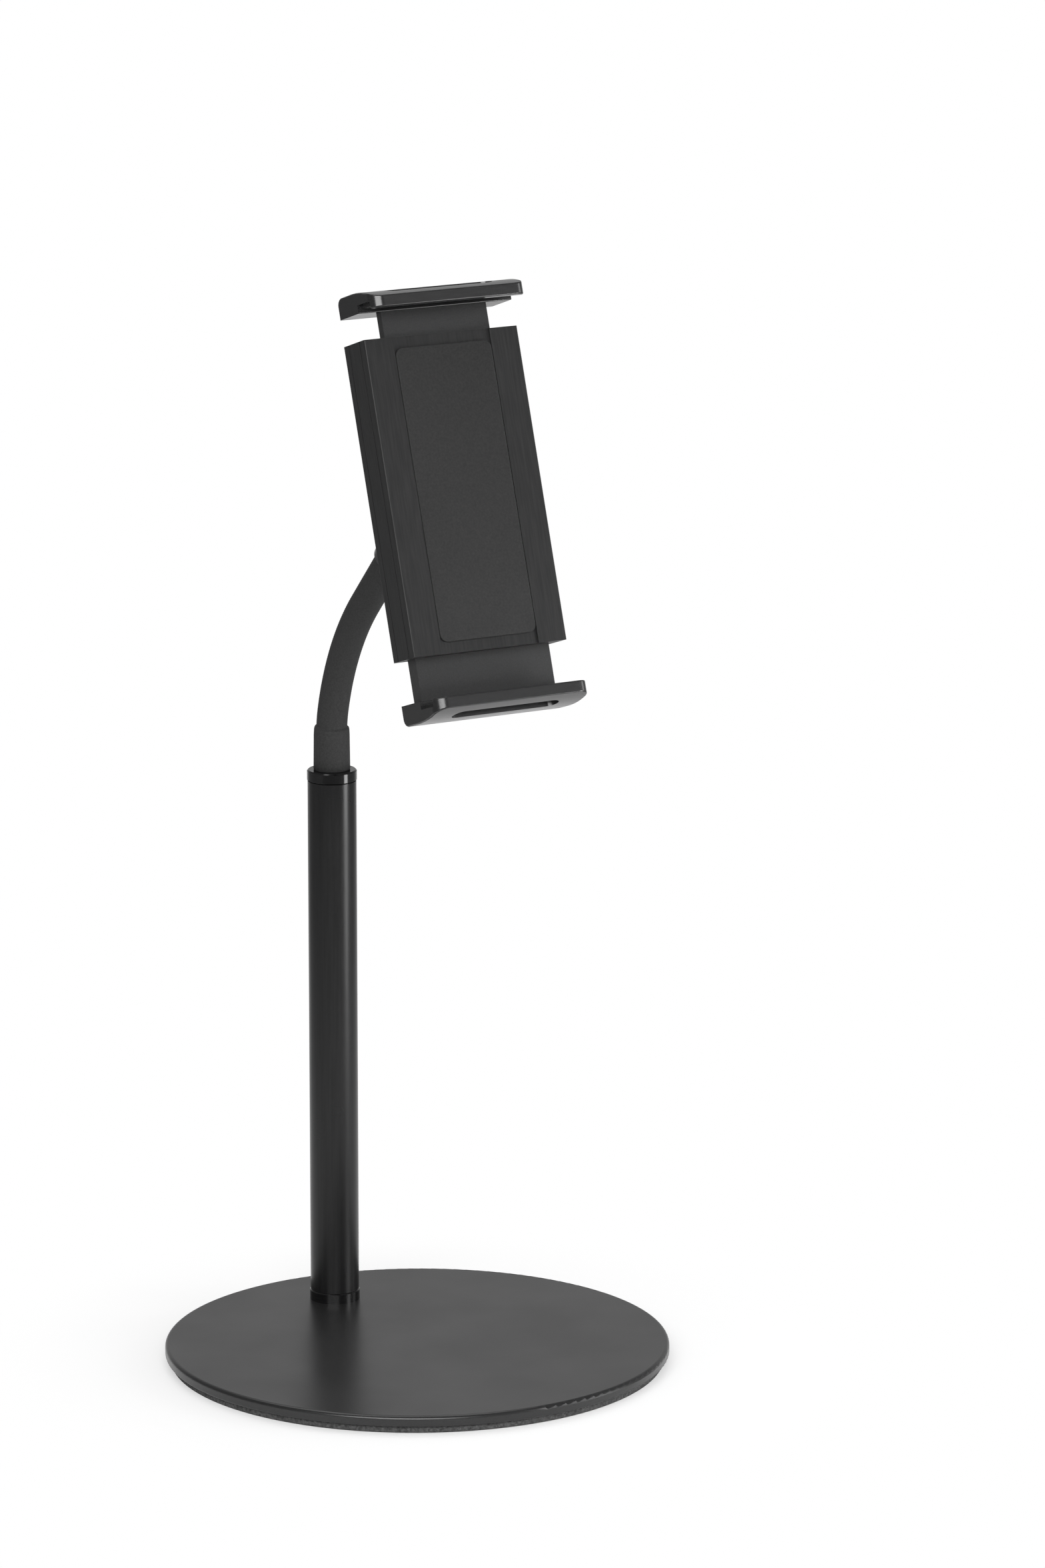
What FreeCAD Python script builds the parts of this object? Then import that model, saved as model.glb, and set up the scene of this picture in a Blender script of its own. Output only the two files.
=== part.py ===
import FreeCAD, Part
import math
import operator
import os
from types import SimpleNamespace

import Sketcher

# Tablet desk mount: weighted base, pole, gooseneck, ball joint and a spring clamp with two sliding jaws.
# Millimetres. Origin under the centre of the base, +Z up, the clamp faces -Y.

# Driving dimensions
SIZES = {
    # base
    "plate_diameter": 190.0,
    "plate_thickness": 4.0,
    "plate_top_edge": 1.5,
    "plate_under_edge": 0.6,
    "pad_diameter": 186.0,
    "pad_thickness": 3.0,
    "pad_hole_diameter": 15.0,
    # pole
    "pole_offset": 64.0,
    "pole_diameter": 18.5,
    "pole_wall": 1.5,
    "pole_length": 199.7,
    "foot_ring_diameter": 19.1,
    "foot_ring_height": 4.0,
    "top_ring_diameter": 18.9,
    "top_ring_height": 4.3,
    "ring_edge": 0.5,
    "plug_length": 18.0,
    "plug_clearance": 0.1,
    "pole_screw_diameter": 6.0,
    "pole_screw_head": 11.6,
    "pole_screw_reach": 13.0,
    "thread_clearance": 0.1,
    # gooseneck
    "stud_diameter": 8.0,
    "stud_length": 12.0,
    "ferrule_diameter": 11.0,
    "ferrule_length": 13.0,
    "ferrule_floor": 2.0,
    "coil_diameter": 9.0,
    "coil_bore": 4.0,
    "sheath_diameter": 11.7,
    "sleeve_foot_diameter": 13.9,
    "sleeve_head_diameter": 13.4,
    "sleeve_length": 16.8,
    "sleeve_taper": 1.2,
    "sheath_clearance": 0.2,
    "neck_rise": 13.5,
    "low_bend_radius": 40.0,
    "low_bend_angle": 14.0,
    "high_bend_radius": 98.0,
    "high_bend_angle": 30.5,
    "neck_reach": 63.4,
    # ball joint
    "ball_diameter": 18.0,
    "stem_diameter": 6.4,
    "stem_length": 17.0,
    "collar_shoulder": 3.0,
    "collar_length": 14.0,
    "collar_wall": 1.0,
    "collar_floor": 2.0,
    "joint_gap": 0.3,
    "seat_thickness": 1.2,
    "seat_depth": 6.0,
    "cup_opening": 65.0,
    "socket_diameter": 27.0,
    "flange_diameter": 47.0,
    "flange_thickness": 3.0,
    "nut_diameter": 33.0,
    "nut_height": 15.5,
    "nut_face": 6.0,
    "nut_rib_radius": 1.0,
    "nut_rib_depth": 0.6,
    "ball_setback": 16.5,
    "lean": 18.0,
    # clamp housing
    "clamp_width": 64.0,
    "clamp_length": 116.3,
    "clamp_depth": 16.0,
    "side_wall": 2.4,
    "front_wall": 2.0,
    "rear_wall": 2.5,
    "clamp_edge": 0.5,
    "line_width": 0.4,
    "line_depth": 0.15,
    "line_inset": 3.6,
    "front_pad_width": 40.0,
    "front_pad_length": 108.0,
    "front_pad_thickness": 1.0,
    "front_pad_recess": 0.8,
    "guide_length": 6.0,
    "guide_clearance": 0.2,
    "slide_gap": 0.3,
    # arms
    "upper_arm_width": 44.0,
    "upper_arm_shoulder": 52.0,
    "upper_arm_thickness": 3.4,
    "upper_arm_inset": 0.6,
    "lower_arm_width": 56.0,
    "lower_arm_shoulder": 58.6,
    "lower_arm_thickness": 5.8,
    "lower_arm_inset": 1.0,
    "upper_open": 9.75,
    "lower_open": 15.95,
    "stop_travel": 40.1,
    "upper_arm_tail": 40.0,
    "lower_arm_tail": 34.0,
    "fork_width": 9.0,
    "fork_end": 9.0,
    "tenon_length": 4.9,
    "tenon_clearance": 0.1,
    # springs
    "spring_anchor": 45.0,
    "upper_spring_diameter": 2.8,
    "lower_spring_diameter": 4.2,
    "spring_wire": 0.6,
    "spring_pin_diameter": 3.5,
    "spring_rivet_diameter": 2.8,
    "spring_neck_length": 3.0,
    "spring_head_diameter": 3.4,
    "spring_head_length": 2.0,
    "spring_clearance": 0.3,
    # jaws
    "jaw_width": 64.0,
    "jaw_thickness": 7.8,
    "jaw_back_inset": 0.4,
    "jaw_root_depth": 14.6,
    "jaw_crest_depth": 17.9,
    "jaw_recess": 3.0,
    "grip_gap": 7.7,
    "lip_thickness": 3.8,
    "lip_outer": 4.4,
    "lip_inner": 0.2,
    "lip_corner": 4.8,
    "lip_edge": 0.6,
    "jaw_inner_edge": 0.4,
    "jaw_back_corner": 3.0,
    "jaw_crest_radius": 45.0,
    "jaw_slot_length": 44.0,
    "jaw_slot_width": 7.0,
    "liner_thickness": 1.5,
    "liner_end_inset": 2.0,
    "liner_slot_margin": 0.5,
    # small screws
    "small_screw_diameter": 2.4,
    "small_screw_head": 4.4,
    "small_head_height": 1.2,
    "jaw_screw_spacing": 28.0,
    "socket_screw_circle": 39.0,
}
NUT_RIBS = 20
SOCKET_SCREWS = 4

doc = FreeCAD.newDocument("TabletDeskMount")
sheet = doc.addObject("Spreadsheet::Sheet", "Sizes")
for row, (alias, number) in enumerate(SIZES.items(), 1):
    sheet.set(f"A{row}", alias)
    sheet.set(f"B{row}", str(number))
    sheet.setAlias(f"B{row}", alias)
doc.recompute()


# A size carries its number and the sheet expression that it comes from, so sums of sizes stay bound
class Size:
    def __init__(self, value, text):
        self.value = value
        self.text = text

    def __add__(self, other):
        return combined(self, other, "+", operator.add)

    def __radd__(self, other):
        return combined(other, self, "+", operator.add)

    def __sub__(self, other):
        return combined(self, other, "-", operator.sub)

    def __rsub__(self, other):
        return combined(other, self, "-", operator.sub)

    def __mul__(self, other):
        return combined(self, other, "*", operator.mul)

    def __rmul__(self, other):
        return combined(other, self, "*", operator.mul)

    def __truediv__(self, other):
        return combined(self, other, "/", operator.truediv)

    def __neg__(self):
        return combined(0, self, "-", operator.sub)


def sized(thing):
    return thing if isinstance(thing, Size) else Size(float(thing), repr(float(thing)))


def combined(left, right, sign, work):
    first = sized(left)
    second = sized(right)
    return Size(work(first.value, second.value), f"({first.text} {sign} {second.text})")


def sine(angle):
    return Size(math.sin(math.radians(angle.value)), f"sin({angle.text})")


def cosine(angle):
    return Size(math.cos(math.radians(angle.value)), f"cos({angle.text})")


def tangent(angle):
    return sine(angle) / cosine(angle)


size = SimpleNamespace(**{alias: Size(float(sheet.get(alias)), f"Sizes.{alias}") for alias in SIZES})


# Building blocks
def bind(thing, path, amount):
    thing.setExpression(path, sized(amount).text)


# A place holds a point in the plane X = 0, the sense of a turn about X and its angle
def put(thing, place):
    y, z, sense, angle = place
    thing.Placement = FreeCAD.Placement(
        FreeCAD.Vector(0, sized(y).value, sized(z).value),
        FreeCAD.Rotation(FreeCAD.Vector(sense, 0, 0), sized(angle).value),
    )
    bind(thing, "Placement.Base.y", y)
    bind(thing, "Placement.Base.z", z)
    if sense:
        bind(thing, "Placement.Rotation.Angle", angle)


def new_body(label, place):
    body = doc.addObject("PartDesign::Body", label)
    body.Label = label
    put(body, place)
    return body


def origin_part(body, role):
    return next(part for part in body.Origin.OriginFeatures if part.Role == role)


def pin_point(sketch, geometry, corner, x, y):
    for kind, axis, amount in (("DistanceX", -2, sized(x)), ("DistanceY", -1, sized(y))):
        if amount.value == 0:
            sketch.addConstraint(Sketcher.Constraint("PointOnObject", geometry, corner, axis))
            continue
        place = sketch.addConstraint(Sketcher.Constraint(kind, -1, 1, geometry, corner, amount.value))
        bind(sketch, f"Constraints[{place}]", amount)


def new_sketch(body, plane, lift=0):
    sketch = body.newObject("Sketcher::SketchObject", f"{body.Name}_sketch")
    sketch.AttachmentSupport = (origin_part(body, plane), "")
    sketch.MapMode = "FlatFace"
    sketch.AttachmentOffset = FreeCAD.Placement(FreeCAD.Vector(0, 0, sized(lift).value), FreeCAD.Rotation())
    bind(sketch, "AttachmentOffset.Base.z", lift)
    return sketch


def draw_outline(sketch, points):
    first = sketch.GeometryCount
    count = len(points)
    corners = [FreeCAD.Vector(sized(x).value, sized(y).value, 0) for x, y in points]
    for index in range(count):
        sketch.addGeometry(Part.LineSegment(corners[index], corners[(index + 1) % count]), False)
    for index in range(count):
        following = first + (index + 1) % count
        sketch.addConstraint(Sketcher.Constraint("Coincident", first + index, 2, following, 1))
    for index, (x, y) in enumerate(points):
        pin_point(sketch, first + index, 1, x, y)


def draw_circle(sketch, x, y, radius):
    middle = FreeCAD.Vector(sized(x).value, sized(y).value, 0)
    circle = sketch.addGeometry(Part.Circle(middle, FreeCAD.Vector(0, 0, 1), radius.value), False)
    pin_point(sketch, circle, 3, x, y)
    place = sketch.addConstraint(Sketcher.Constraint("Radius", circle, radius.value))
    bind(sketch, f"Constraints[{place}]", radius)


def rectangle(left, right, low, high):
    return [(left, low), (right, low), (right, high), (left, high)]


def outline_sketch(body, plane, *outlines, lift=0):
    sketch = new_sketch(body, plane, lift)
    for points in outlines:
        draw_outline(sketch, points)
    return sketch


def circle_sketch(body, plane, *circles, lift=0):
    sketch = new_sketch(body, plane, lift)
    for x, y, radius in circles:
        draw_circle(sketch, x, y, radius)
    return sketch


def add_feature(body, kind, profile, **settings):
    feature = body.newObject(f"PartDesign::{kind}", f"{body.Name}_{kind}")
    feature.Profile = profile
    for name, setting in settings.items():
        if isinstance(setting, Size):
            bind(feature, name, setting)
        else:
            setattr(feature, name, setting)
    doc.recompute()
    return feature


def pad(body, sketch, length, **settings):
    return add_feature(body, "Pad", sketch, Length=length, **settings)


def pocket(body, sketch, length, **settings):
    before = body.Shape.Volume
    feature = add_feature(body, "Pocket", sketch, Length=length, **settings)
    if body.Shape.Volume >= before:
        raise RuntimeError(f"{feature.Name} cuts nothing")
    return feature


def revolve(body, sketch, axis="V_Axis"):
    return add_feature(body, "Revolution", sketch, ReferenceAxis=(sketch, [axis]), Angle=360.0)


def sphere(body, kind, radius):
    before = body.Shape.Volume if kind == "SubtractiveSphere" else 0
    feature = body.newObject(f"PartDesign::{kind}", f"{body.Name}_{kind}")
    bind(feature, "Radius", radius)
    doc.recompute()
    if before and body.Shape.Volume >= before:
        raise RuntimeError(f"{feature.Name} cuts nothing")
    return feature


def edges_where(body, test):
    edges = body.Tip.Shape.Edges
    return [f"Edge{number}" for number, edge in enumerate(edges, 1) if test(edge)]


def dress(body, kind, measure, amount, test):
    base = (body.Tip, edges_where(body, test))
    feature = body.newObject(f"PartDesign::{kind}", f"{body.Name}_{kind}")
    feature.Base = base
    bind(feature, measure, amount)
    doc.recompute()
    return feature


def fillet(body, radius, test):
    return dress(body, "Fillet", "Radius", radius, test)


def near(first, second):
    return abs(first - second) < 0.01


def lies_on(x=None, y=None, z=None):
    wanted = [None if place is None else sized(place).value for place in (x, y, z)]

    def test(edge):
        box = edge.BoundBox
        spans = ((box.XMin, box.XMax), (box.YMin, box.YMax), (box.ZMin, box.ZMax))
        return all(
            place is None or (near(low, place) and near(high, place))
            for place, (low, high) in zip(wanted, spans)
        )

    return test


# Reference places of the stand
ORIGIN = (0, 0, 0, 0)
ON_POLE = (size.pole_offset, 0, 0, 0)
plate_top = size.pad_thickness + size.plate_thickness
pole_foot = plate_top + size.foot_ring_height
pole_head = pole_foot + size.pole_length
neck_foot = pole_head + size.top_ring_height

# Reference places of the gooseneck, measured from the pole's axis
turn_low = size.low_bend_angle
turn_end = size.low_bend_angle + size.high_bend_angle
bend_start = (0, neck_foot + size.neck_rise)
bend_middle = (
    -size.low_bend_radius * (1 - cosine(turn_low)),
    bend_start[1] + size.low_bend_radius * sine(turn_low),
)
bend_end = (
    bend_middle[0] - size.high_bend_radius * (cosine(turn_low) - cosine(turn_end)),
    bend_middle[1] + size.high_bend_radius * (sine(turn_end) - sine(turn_low)),
)
ball_place = (
    bend_end[0] - size.neck_reach * sine(turn_end),
    bend_end[1] + size.neck_reach * cosine(turn_end),
)
ball_y = size.pole_offset + ball_place[0]
ball_z = ball_place[1]
ON_NECK_END = (ball_y, ball_z, 1, turn_end)

# Reference places of the clamp: its frame has its origin in the ball, +Y behind it and +Z up its face
ON_CLAMP = (ball_y, ball_z, -1, size.lean)
half_length = size.clamp_length / 2
clamp_back = -size.ball_setback
clamp_front = clamp_back - size.clamp_depth
bay_front = clamp_front + size.front_wall
bay_back = clamp_back - size.rear_wall
bay_half = size.clamp_width / 2 - size.side_wall
pad_face = clamp_front + size.front_pad_recess - size.front_pad_thickness


# Base: round steel plate on a foam pad, with the countersunk hole of the pole's screw
screw_radius = size.pole_screw_diameter / 2 + size.thread_clearance
base_plate = new_body("base_plate", ORIGIN)
plate_sketch = circle_sketch(
    base_plate, "XY_Plane", (0, 0, size.plate_diameter / 2), (0, size.pole_offset, screw_radius),
    lift=size.pad_thickness,
)
pad(base_plate, plate_sketch, size.plate_thickness)
rim = size.plate_diameter.value / 2
fillet(
    base_plate, size.plate_top_edge,
    lambda edge: near(edge.BoundBox.XMax, rim) and near(edge.BoundBox.ZMin, plate_top.value),
)
fillet(
    base_plate, size.plate_under_edge,
    lambda edge: near(edge.BoundBox.XMax, rim) and near(edge.BoundBox.ZMax, size.pad_thickness.value),
)
sink = size.pole_screw_head / 2 + size.thread_clearance - screw_radius
dress(
    base_plate, "Chamfer", "Size", sink,
    lambda edge: near(edge.BoundBox.XMax, screw_radius.value)
    and near(edge.BoundBox.ZMax, size.pad_thickness.value),
)

base_pad = new_body("base_pad", ORIGIN)
pad_sketch = circle_sketch(
    base_pad, "XY_Plane", (0, 0, size.pad_diameter / 2), (0, size.pole_offset, size.pad_hole_diameter / 2)
)
pad(base_pad, pad_sketch, size.pad_thickness)

# Screw through the plate into the pole's foot
pole_screw = new_body("pole_screw", ON_POLE)
head_height = (size.pole_screw_head - size.pole_screw_diameter) / 2
pole_screw_profile = [
    (0, size.pad_thickness),
    (size.pole_screw_head / 2, size.pad_thickness),
    (size.pole_screw_diameter / 2, size.pad_thickness + head_height),
    (size.pole_screw_diameter / 2, plate_top + size.pole_screw_reach),
    (0, plate_top + size.pole_screw_reach),
]
revolve(pole_screw, outline_sketch(pole_screw, "YZ_Plane", pole_screw_profile))

# Pole: a tube between two turned plugs whose polished rings show
bore_radius = size.pole_diameter / 2 - size.pole_wall
plug_radius = bore_radius - size.plug_clearance
foot_plug = new_body("foot_plug", ON_POLE)
foot_radius = size.foot_ring_diameter / 2
foot_profile = [
    (screw_radius, plate_top),
    (foot_radius, plate_top),
    (foot_radius, pole_foot - size.ring_edge),
    (foot_radius - size.ring_edge, pole_foot),
    (plug_radius, pole_foot),
    (plug_radius, pole_foot + size.plug_length),
    (0, pole_foot + size.plug_length),
    (0, plate_top + size.pole_screw_reach + size.thread_clearance),
    (screw_radius, plate_top + size.pole_screw_reach + size.thread_clearance),
]
revolve(foot_plug, outline_sketch(foot_plug, "YZ_Plane", foot_profile))

pole_tube = new_body("pole_tube", ON_POLE)
tube_sketch = circle_sketch(
    pole_tube, "XY_Plane", (0, 0, size.pole_diameter / 2), (0, 0, bore_radius), lift=pole_foot
)
pad(pole_tube, tube_sketch, size.pole_length)

top_plug = new_body("top_plug", ON_POLE)
top_radius = size.top_ring_diameter / 2
stud_bore = size.stud_diameter / 2 + size.thread_clearance
top_profile = [
    (stud_bore, pole_head - size.plug_length),
    (plug_radius, pole_head - size.plug_length),
    (plug_radius, pole_head),
    (top_radius - size.ring_edge, pole_head),
    (top_radius, pole_head + size.ring_edge),
    (top_radius, neck_foot - size.ring_edge),
    (top_radius - size.ring_edge, neck_foot),
    (stud_bore, neck_foot),
]
revolve(top_plug, outline_sketch(top_plug, "YZ_Plane", top_profile))

# Gooseneck: threaded ferrule, wound core and rubber sheath on one path of two bends
ferrule_radius = size.ferrule_diameter / 2
coil_socket = size.coil_diameter / 2 + size.sheath_clearance
neck_ferrule = new_body("neck_ferrule", ON_POLE)
ferrule_profile = [
    (0, neck_foot - size.stud_length),
    (size.stud_diameter / 2, neck_foot - size.stud_length),
    (size.stud_diameter / 2, neck_foot),
    (ferrule_radius, neck_foot),
    (ferrule_radius, neck_foot + size.ferrule_length),
    (coil_socket, neck_foot + size.ferrule_length),
    (coil_socket, neck_foot + size.ferrule_floor),
    (0, neck_foot + size.ferrule_floor),
]
revolve(neck_ferrule, outline_sketch(neck_ferrule, "YZ_Plane", ferrule_profile))

# The neck ends inside the collar, short of the collar's floor
collar_top = size.stem_length + size.collar_shoulder
neck_stop = collar_top + size.collar_floor + size.joint_gap
neck_tip = (
    ball_place[0] + neck_stop * sine(turn_end),
    ball_place[1] - neck_stop * cosine(turn_end),
)


def neck_pipe(body, start_height, outer_radius, inner_radius):
    path = new_sketch(body, "YZ_Plane")
    corners = [(0, start_height), bend_start, bend_middle, bend_end, neck_tip]
    spots = [FreeCAD.Vector(sized(y).value, sized(z).value, 0) for y, z in corners]
    centres = (
        (bend_start[0] - size.low_bend_radius, bend_start[1]),
        (
            bend_middle[0] - size.high_bend_radius * cosine(turn_low),
            bend_middle[1] - size.high_bend_radius * sine(turn_low),
        ),
    )
    bends = (
        (size.low_bend_radius, 0.0, turn_low.value),
        (size.high_bend_radius, turn_low.value, turn_end.value),
    )
    path.addGeometry(Part.LineSegment(spots[0], spots[1]), False)
    for (y, z), (radius, first, last) in zip(centres, bends):
        circle = Part.Circle(FreeCAD.Vector(y.value, z.value, 0), FreeCAD.Vector(0, 0, 1), radius.value)
        path.addGeometry(Part.ArcOfCircle(circle, math.radians(first), math.radians(last)), False)
    path.addGeometry(Part.LineSegment(spots[3], spots[4]), False)
    for run in range(3):
        path.addConstraint(Sketcher.Constraint("Coincident", run, 2, run + 1, 1))
    pin_point(path, 0, 1, *corners[0])
    for run in range(4):
        pin_point(path, run, 2, *corners[run + 1])
    for run, (radius, first, last) in enumerate(bends, 1):
        place = path.addConstraint(Sketcher.Constraint("Radius", run, radius.value))
        bind(path, f"Constraints[{place}]", radius)
    section = circle_sketch(body, "XY_Plane", (0, 0, outer_radius), (0, 0, inner_radius), lift=start_height)
    doc.recompute()
    return add_feature(body, "AdditivePipe", section, Spine=(path, ["Edge1", "Edge2", "Edge3", "Edge4"]))


neck_coil = new_body("neck_coil", ON_POLE)
neck_pipe(neck_coil, neck_foot + size.ferrule_floor, size.coil_diameter / 2, size.coil_bore / 2)

neck_sheath = new_body("neck_sheath", ON_POLE)
neck_pipe(neck_sheath, neck_foot, size.sheath_diameter / 2, coil_socket)
sleeve_top = neck_foot + size.sleeve_length
sleeve_bore = ferrule_radius + size.sheath_clearance
sheath_middle = (coil_socket + size.sheath_diameter / 2) / 2
sleeve_profile = [
    (sheath_middle, neck_foot),
    (size.sleeve_foot_diameter / 2, neck_foot),
    (size.sleeve_head_diameter / 2, sleeve_top - size.sleeve_taper),
    (sheath_middle, sleeve_top),
]
revolve(neck_sheath, outline_sketch(neck_sheath, "YZ_Plane", sleeve_profile))
sleeve_cut = circle_sketch(neck_sheath, "XY_Plane", (0, 0, sleeve_bore), lift=neck_foot)
pocket(neck_sheath, sleeve_cut, size.ferrule_length + size.sheath_clearance, Reversed=True)

# Ball joint: the ball's stud grips the end of the neck
ball_radius = size.ball_diameter / 2
collar_bore = size.sheath_diameter / 2 + size.sheath_clearance
collar_radius = collar_bore + size.collar_wall
ball_stud = new_body("ball_stud", ON_NECK_END)
stud_profile = [
    (0, -ball_radius / 2),
    (size.stem_diameter / 2, -ball_radius / 2),
    (size.stem_diameter / 2, -size.stem_length),
    (collar_radius, -collar_top),
    (collar_radius, -collar_top - size.collar_length),
    (collar_bore, -collar_top - size.collar_length),
    (collar_bore, -collar_top - size.collar_floor),
    (0, -collar_top - size.collar_floor),
]
revolve(ball_stud, outline_sketch(ball_stud, "YZ_Plane", stud_profile))
sphere(ball_stud, "AdditiveSphere", ball_radius)

# Friction ring round the ball, open towards the neck by the cup's angle
seat_inner = ball_radius + size.joint_gap
seat_outer = seat_inner + size.seat_thickness
cup_radius = seat_outer + size.joint_gap
opening = tangent(size.cup_opening)
ball_seat = new_body("ball_seat", ON_CLAMP)
sphere(ball_seat, "AdditiveSphere", seat_outer)
sphere(ball_seat, "SubtractiveSphere", seat_inner)
mouth_cone = [(0, 0), (opening * cup_radius, cup_radius), (0, cup_radius)]
seat_mouth = outline_sketch(ball_seat, "XY_Plane", mouth_cone)
add_feature(ball_seat, "Groove", seat_mouth, ReferenceAxis=(seat_mouth, ["V_Axis"]), Angle=360.0)
seat_floor = outline_sketch(
    ball_seat, "XY_Plane", rectangle(0, cup_radius, -cup_radius, -size.seat_depth)
)
add_feature(ball_seat, "Groove", seat_floor, ReferenceAxis=(seat_floor, ["V_Axis"]), Angle=360.0)

# Cup with its flange on the back of the housing
socket_radius = size.socket_diameter / 2
cup_rim = -size.joint_gap * 2
flange_back = clamp_back + size.flange_thickness
screw_hole = size.small_screw_diameter / 2 + size.thread_clearance
socket_circle = size.socket_screw_circle / 2
socket_spots = [
    (
        socket_circle * cosine(sized(45 + 360 / SOCKET_SCREWS * number)),
        socket_circle * sine(sized(45 + 360 / SOCKET_SCREWS * number)),
    )
    for number in range(SOCKET_SCREWS)
]
ball_socket = new_body("ball_socket", ON_CLAMP)
socket_profile = [
    (0, clamp_back),
    (size.flange_diameter / 2, clamp_back),
    (size.flange_diameter / 2, flange_back),
    (socket_radius, flange_back),
    (socket_radius, cup_rim),
    (0, cup_rim),
]
revolve(ball_socket, outline_sketch(ball_socket, "XY_Plane", socket_profile))
sphere(ball_socket, "SubtractiveSphere", cup_radius)
flange_holes = circle_sketch(
    ball_socket, "XZ_Plane", *[(x, z, screw_hole) for x, z in socket_spots], lift=-flange_back
)
pocket(ball_socket, flange_holes, size.flange_thickness, Reversed=True)

# Ribbed nut that turns on the cup and holds the ball in it
nut_radius = size.nut_diameter / 2
nut_bore = socket_radius + size.joint_gap
nut_foot = size.nut_face - size.nut_height
nut_floor = cup_rim + size.joint_gap
mouth = seat_inner * cosine(size.cup_opening)
ring_nut = new_body("ring_nut", ON_CLAMP)
nut_profile = [
    (nut_bore, nut_foot),
    (nut_radius, nut_foot),
    (nut_radius, size.nut_face),
    (opening * size.nut_face, size.nut_face),
    (opening * mouth, mouth),
    (opening * mouth, nut_floor),
    (nut_bore, nut_floor),
]
revolve(ring_nut, outline_sketch(ring_nut, "XY_Plane", nut_profile))
sphere(ring_nut, "SubtractiveSphere", cup_radius)
rib_place = nut_radius + size.nut_rib_radius - size.nut_rib_depth
rib_sketch = circle_sketch(ring_nut, "XZ_Plane", (rib_place, 0, size.nut_rib_radius), lift=-size.nut_face)
rib_cut = pocket(ring_nut, rib_sketch, size.nut_height, Reversed=True)
ribs = ring_nut.newObject("PartDesign::PolarPattern", "ring_nut_ribs")
ribs.Originals = [rib_cut]
ribs.Axis = (origin_part(ring_nut, "Y_Axis"), [""])
ribs.Angle = 360.0
ribs.Occurrences = NUT_RIBS
ring_nut.Tip = ribs
doc.recompute()

# Clamp housing: extruded tube with a shallow channel for the front pad and fine lines on its sides
housing_half = size.clamp_width / 2
channel_half = size.front_pad_width / 2 + size.guide_clearance
channel_floor = clamp_front + size.front_pad_recess
clamp_housing = new_body("clamp_housing", ON_CLAMP)
housing_outline = [
    (-housing_half, clamp_front),
    (-channel_half, clamp_front),
    (-channel_half, channel_floor),
    (channel_half, channel_floor),
    (channel_half, clamp_front),
    (housing_half, clamp_front),
    (housing_half, clamp_back),
    (-housing_half, clamp_back),
]
housing_section = outline_sketch(
    clamp_housing, "XY_Plane", housing_outline, rectangle(-bay_half, bay_half, bay_front, bay_back),
    lift=-half_length,
)
pad(clamp_housing, housing_section, size.clamp_length)
corner = housing_half.value
fillet(
    clamp_housing, size.clamp_edge,
    lambda edge: lies_on(x=corner)(edge) and near(edge.BoundBox.YMin, edge.BoundBox.YMax)
    or lies_on(x=-corner)(edge) and near(edge.BoundBox.YMin, edge.BoundBox.YMax),
)
line_floor = housing_half - size.line_depth
lines = []
for low in (clamp_front + size.line_inset, clamp_back - size.line_inset - size.line_width):
    high = low + size.line_width
    lines.append(rectangle(line_floor, housing_half + size.line_depth, low, high))
    lines.append(rectangle(-housing_half - size.line_depth, -line_floor, low, high))
pocket(
    clamp_housing, outline_sketch(clamp_housing, "XY_Plane", *lines, lift=-half_length), size.clamp_length,
    Reversed=True,
)
rivet_hole = size.spring_rivet_diameter / 2 + size.thread_clearance
front_hole = circle_sketch(clamp_housing, "XZ_Plane", (0, -size.spring_anchor, rivet_hole), lift=-bay_front)
pocket(clamp_housing, front_hole, size.front_wall, Reversed=True)
rear_holes = circle_sketch(
    clamp_housing, "XZ_Plane", (0, size.spring_anchor, rivet_hole),
    *[(x, z, screw_hole) for x, z in socket_spots], lift=-clamp_back,
)
pocket(clamp_housing, rear_holes, size.rear_wall, Reversed=True)

front_pad = new_body("front_pad", ON_CLAMP)
pad_half = size.front_pad_width / 2
front_pad_sketch = outline_sketch(
    front_pad, "XZ_Plane",
    rectangle(-pad_half, pad_half, -size.front_pad_length / 2, size.front_pad_length / 2),
    lift=-channel_floor,
)
pad(front_pad, front_pad_sketch, size.front_pad_thickness)

# Screws and rivets are turned parts that lie along the clamp's depth
INTO_CLAMP = FreeCAD.Rotation(FreeCAD.Vector(1, 0, 0), 90)


def turned_pin(name, x, z, steps):
    cylinders = []
    for radius, start, length in steps:
        cylinder = doc.addObject("Part::Cylinder", f"{name}_step")
        cylinder.Placement = FreeCAD.Placement(
            FreeCAD.Vector(sized(x).value, start.value, sized(z).value), INTO_CLAMP
        )
        bind(cylinder, "Placement.Base.x", x)
        bind(cylinder, "Placement.Base.y", start)
        bind(cylinder, "Placement.Base.z", z)
        bind(cylinder, "Radius", radius)
        bind(cylinder, "Height", length)
        cylinders.append(cylinder)
    pin = doc.addObject("Part::MultiFuse", f"{name}_pin")
    pin.Shapes = cylinders
    return pin


def pin_group(label, pins):
    group = doc.addObject("Part::Compound", label)
    group.Label = label
    group.Links = pins
    put(group, ON_CLAMP)
    doc.recompute()
    return group


def small_screw(name, x, z, head_face, shank_length):
    head_floor = head_face - size.small_head_height
    steps = [
        (size.small_screw_head / 2, head_face, size.small_head_height),
        (size.small_screw_diameter / 2, head_floor, shank_length),
    ]
    return turned_pin(name, x, z, steps)


socket_screw_length = size.flange_thickness + size.rear_wall - size.joint_gap
socket_screws = pin_group(
    "socket_screws",
    [
        small_screw("socket_screw", x, z, flange_back + size.small_head_height, socket_screw_length)
        for x, z in socket_spots
    ],
)

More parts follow.
